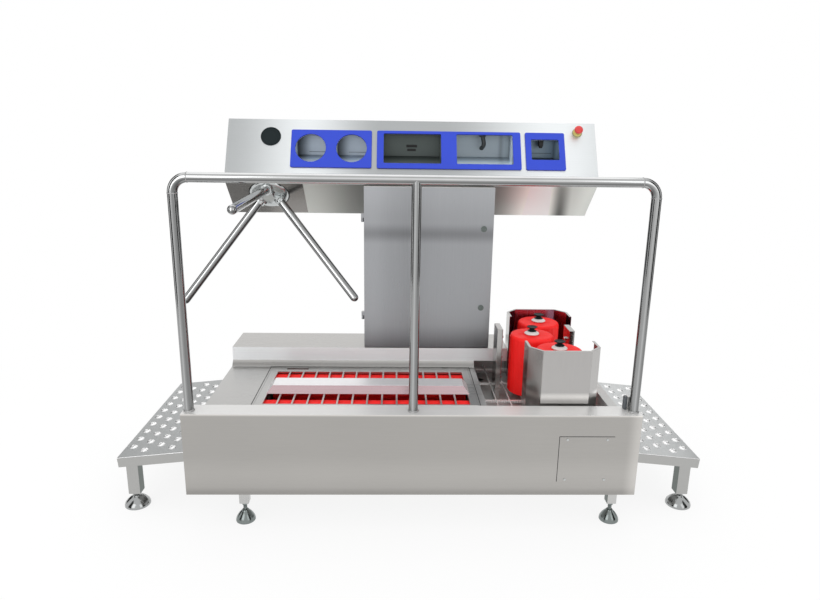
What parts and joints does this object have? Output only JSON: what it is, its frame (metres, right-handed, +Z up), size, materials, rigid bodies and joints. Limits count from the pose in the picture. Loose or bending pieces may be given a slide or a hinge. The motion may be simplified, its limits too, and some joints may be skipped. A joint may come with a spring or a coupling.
{
  "type": "boot washer",
  "caption": "Walk-through hygiene station with sole and boot brushes, a handrail, a hand wash console, a cabinet, a tripod turnstile and low approach steps.",
  "frame": {"origin": "on the floor, under the middle of the station's outline", "axes": "+X along the front wall towards the upright brushes, +Y from the front wall to the back, +Z up"},
  "size_m": [2.536, 1.007, 1.666],
  "materials": {
    "brushed": "brushed satin",
    "polished": "polished",
    "tread": "anti-slip, matt with bright raised dimples",
    "blue_frame": "gloss",
    "red_bristle": "bristle",
    "black_plastic": "matt",
    "yellow_plastic": "gloss",
    "red_plastic": "gloss",
    "grey_plastic": "matt",
    "white_plastic": "matt",
    "motor_paint": "satin paint"
  },
  "bodies": {
    "station": {"access_panel": "brushed", "access_screws": "polished", "bezel_left": "blue_frame", "bezel_middle": "blue_frame", "bezel_right": "blue_frame", "brush_motors": "motor_paint", "cabinet_body": "brushed", "console_back": "brushed", "console_shell": "brushed", "control_plate": "grey_plastic", "deck_plate": "brushed", "drain_outlet": "brushed", "drive_chain": "brushed", "dryer_chamber": "brushed", "front_guard": "brushed", "front_panel": "brushed", "hand_chambers": "brushed", "handrail": "polished", "handrail_post": "polished", "levelling_feet": "polished", "pit_grate": "brushed", "pit_tray": "brushed", "reader_disc": "black_plastic", "rear_guard": "brushed", "rear_plinth": "brushed", "roller_bearings": "brushed", "roller_gearmotor": "motor_paint", "sensor_bracket": "black_plastic", "soap_chamber": "brushed", "soap_tank": "white_plastic", "spray_posts": "brushed", "step_frame_left": "brushed", "step_frame_right": "brushed", "stop_collar": "yellow_plastic", "tread_left": "tread", "tread_right": "tread", "tub_legs": "brushed", "tub_shell": "brushed", "turnstile_cover": "brushed", "turnstile_housing": "brushed", "wash_basin": "brushed", "water_outlets": "black_plastic"},
    "turnstile_rotor": {"turnstile_hub": "polished", "turnstile_arms": "polished"},
    "front_boot_brush": {"side_brush_front": "red_bristle", "side_spindle_front": "black_plastic"},
    "middle_boot_brush": {"side_brush_middle": "red_bristle", "side_spindle_middle": "black_plastic"},
    "rear_boot_brush": {"side_brush_rear": "red_bristle", "side_spindle_rear": "black_plastic"},
    "front_roller": {"sole_brush_front": "red_bristle", "sole_shaft_front": "brushed"},
    "rear_roller": {"sole_brush_rear": "red_bristle", "sole_shaft_rear": "brushed"},
    "lift_up_grating": {"sole_grating": "brushed", "centre_hood": "brushed"},
    "door": {"cabinet_door": "brushed"},
    "lower_lock": {"door_lock_lower": "polished"},
    "upper_lock": {"door_lock_upper": "polished"},
    "stop_button": {"stop_head": "red_plastic"}
  },
  "joints": [
    {"name": "turnstile_spin", "type": "hinge", "parent": "station", "child": "turnstile_rotor", "pos_m": [-0.67, 0.2, 1.3536], "axis": [0, -0.689, -0.7248], "continuous": true},
    {"name": "front_boot_brush_spin", "type": "hinge", "parent": "station", "child": "front_boot_brush", "pos_m": [0.631, -0.272, 0.5], "axis": [0, 0, 1], "continuous": true},
    {"name": "middle_boot_brush_spin", "type": "hinge", "parent": "station", "child": "middle_boot_brush", "pos_m": [0.555, -0.061, 0.5], "axis": [0, 0, 1], "continuous": true},
    {"name": "rear_boot_brush_spin", "type": "hinge", "parent": "station", "child": "rear_boot_brush", "pos_m": [0.631, 0.15, 0.5], "axis": [0, 0, 1], "continuous": true},
    {"name": "front_roller_spin", "type": "hinge", "parent": "station", "child": "front_roller", "pos_m": [0, -0.337, 0.432], "axis": [1, 0, 0], "continuous": true},
    {"name": "rear_roller_spin", "type": "hinge", "parent": "station", "child": "rear_roller", "pos_m": [0, -0.032, 0.432], "axis": [1, 0, 0], "continuous": true},
    {"name": "grating_lift", "type": "hinge", "parent": "station", "child": "lift_up_grating", "pos_m": [0, -0.39955, 0.51015], "axis": [1, 0, 0], "range_deg": [0, 85]},
    {"name": "door_swing", "type": "hinge", "parent": "station", "child": "door", "pos_m": [-0.231, 0.098, 0.9], "axis": [0, 0, -1], "range_deg": [0, 44]},
    {"name": "lower_lock_turn", "type": "hinge", "parent": "door", "child": "lower_lock", "pos_m": [0.332, 0.07, 0.809], "axis": [0, 1, 0], "range_deg": [0, 90]},
    {"name": "upper_lock_turn", "type": "hinge", "parent": "door", "child": "upper_lock", "pos_m": [0.332, 0.07, 1.186], "axis": [0, 1, 0], "range_deg": [0, 90]},
    {"name": "stop_press", "type": "slide", "parent": "station", "child": "stop_button", "axis": [0, 0.8766, -0.4812], "range_m": [0, 0.005], "stiffness_N_per_m": 800, "springref_m": -0.001}
  ],
  "couplings": [
    {"joint": "rear_roller_spin", "follows": "front_roller_spin", "ratio": 1}
  ]
}
